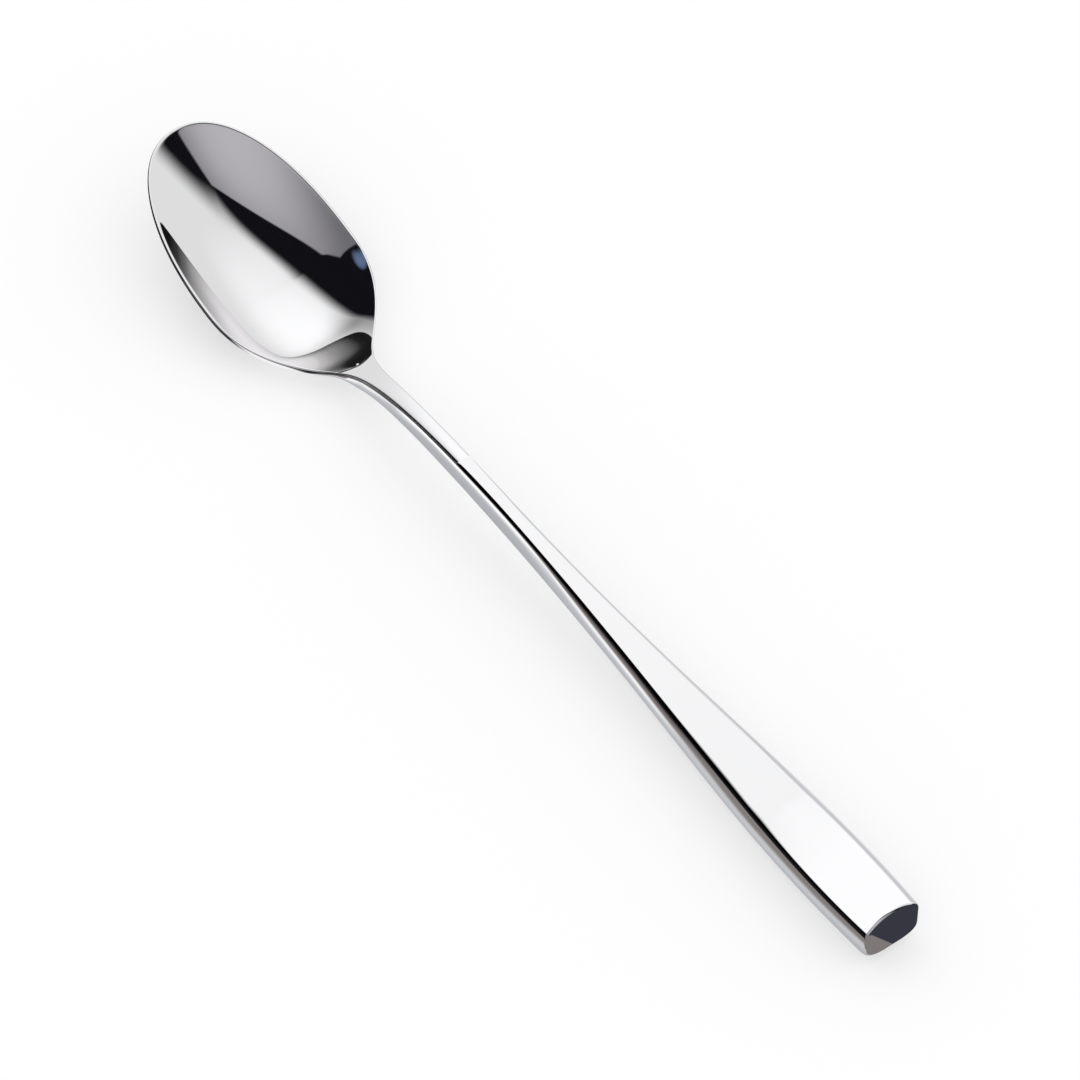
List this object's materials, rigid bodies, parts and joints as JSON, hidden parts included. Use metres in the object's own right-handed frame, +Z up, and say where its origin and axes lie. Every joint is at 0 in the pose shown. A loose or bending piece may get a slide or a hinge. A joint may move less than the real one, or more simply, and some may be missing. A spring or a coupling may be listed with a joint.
{
  "type": "iced tea spoon",
  "caption": "Long slim spoon for tall glasses: an oval bowl, a narrow arched neck and a deep handle that widens to a square-cut end, all in mirror-polished steel.",
  "frame": {"origin": "middle of the spoon's length and width, on the table plane that the bowl and the handle's end rest on", "axes": "+X runs along the spoon from the bowl's tip to the handle's cut end, +Y across it, +Z up out of the bowl's hollow"},
  "size_m": [0.1898, 0.029, 0.0167],
  "materials": {
    "polished_steel": "mirror-polished stainless steel"
  },
  "bodies": {
    "root": {"bowl": "polished_steel", "neck": "polished_steel", "handle": "polished_steel"}
  },
  "joints": []
}
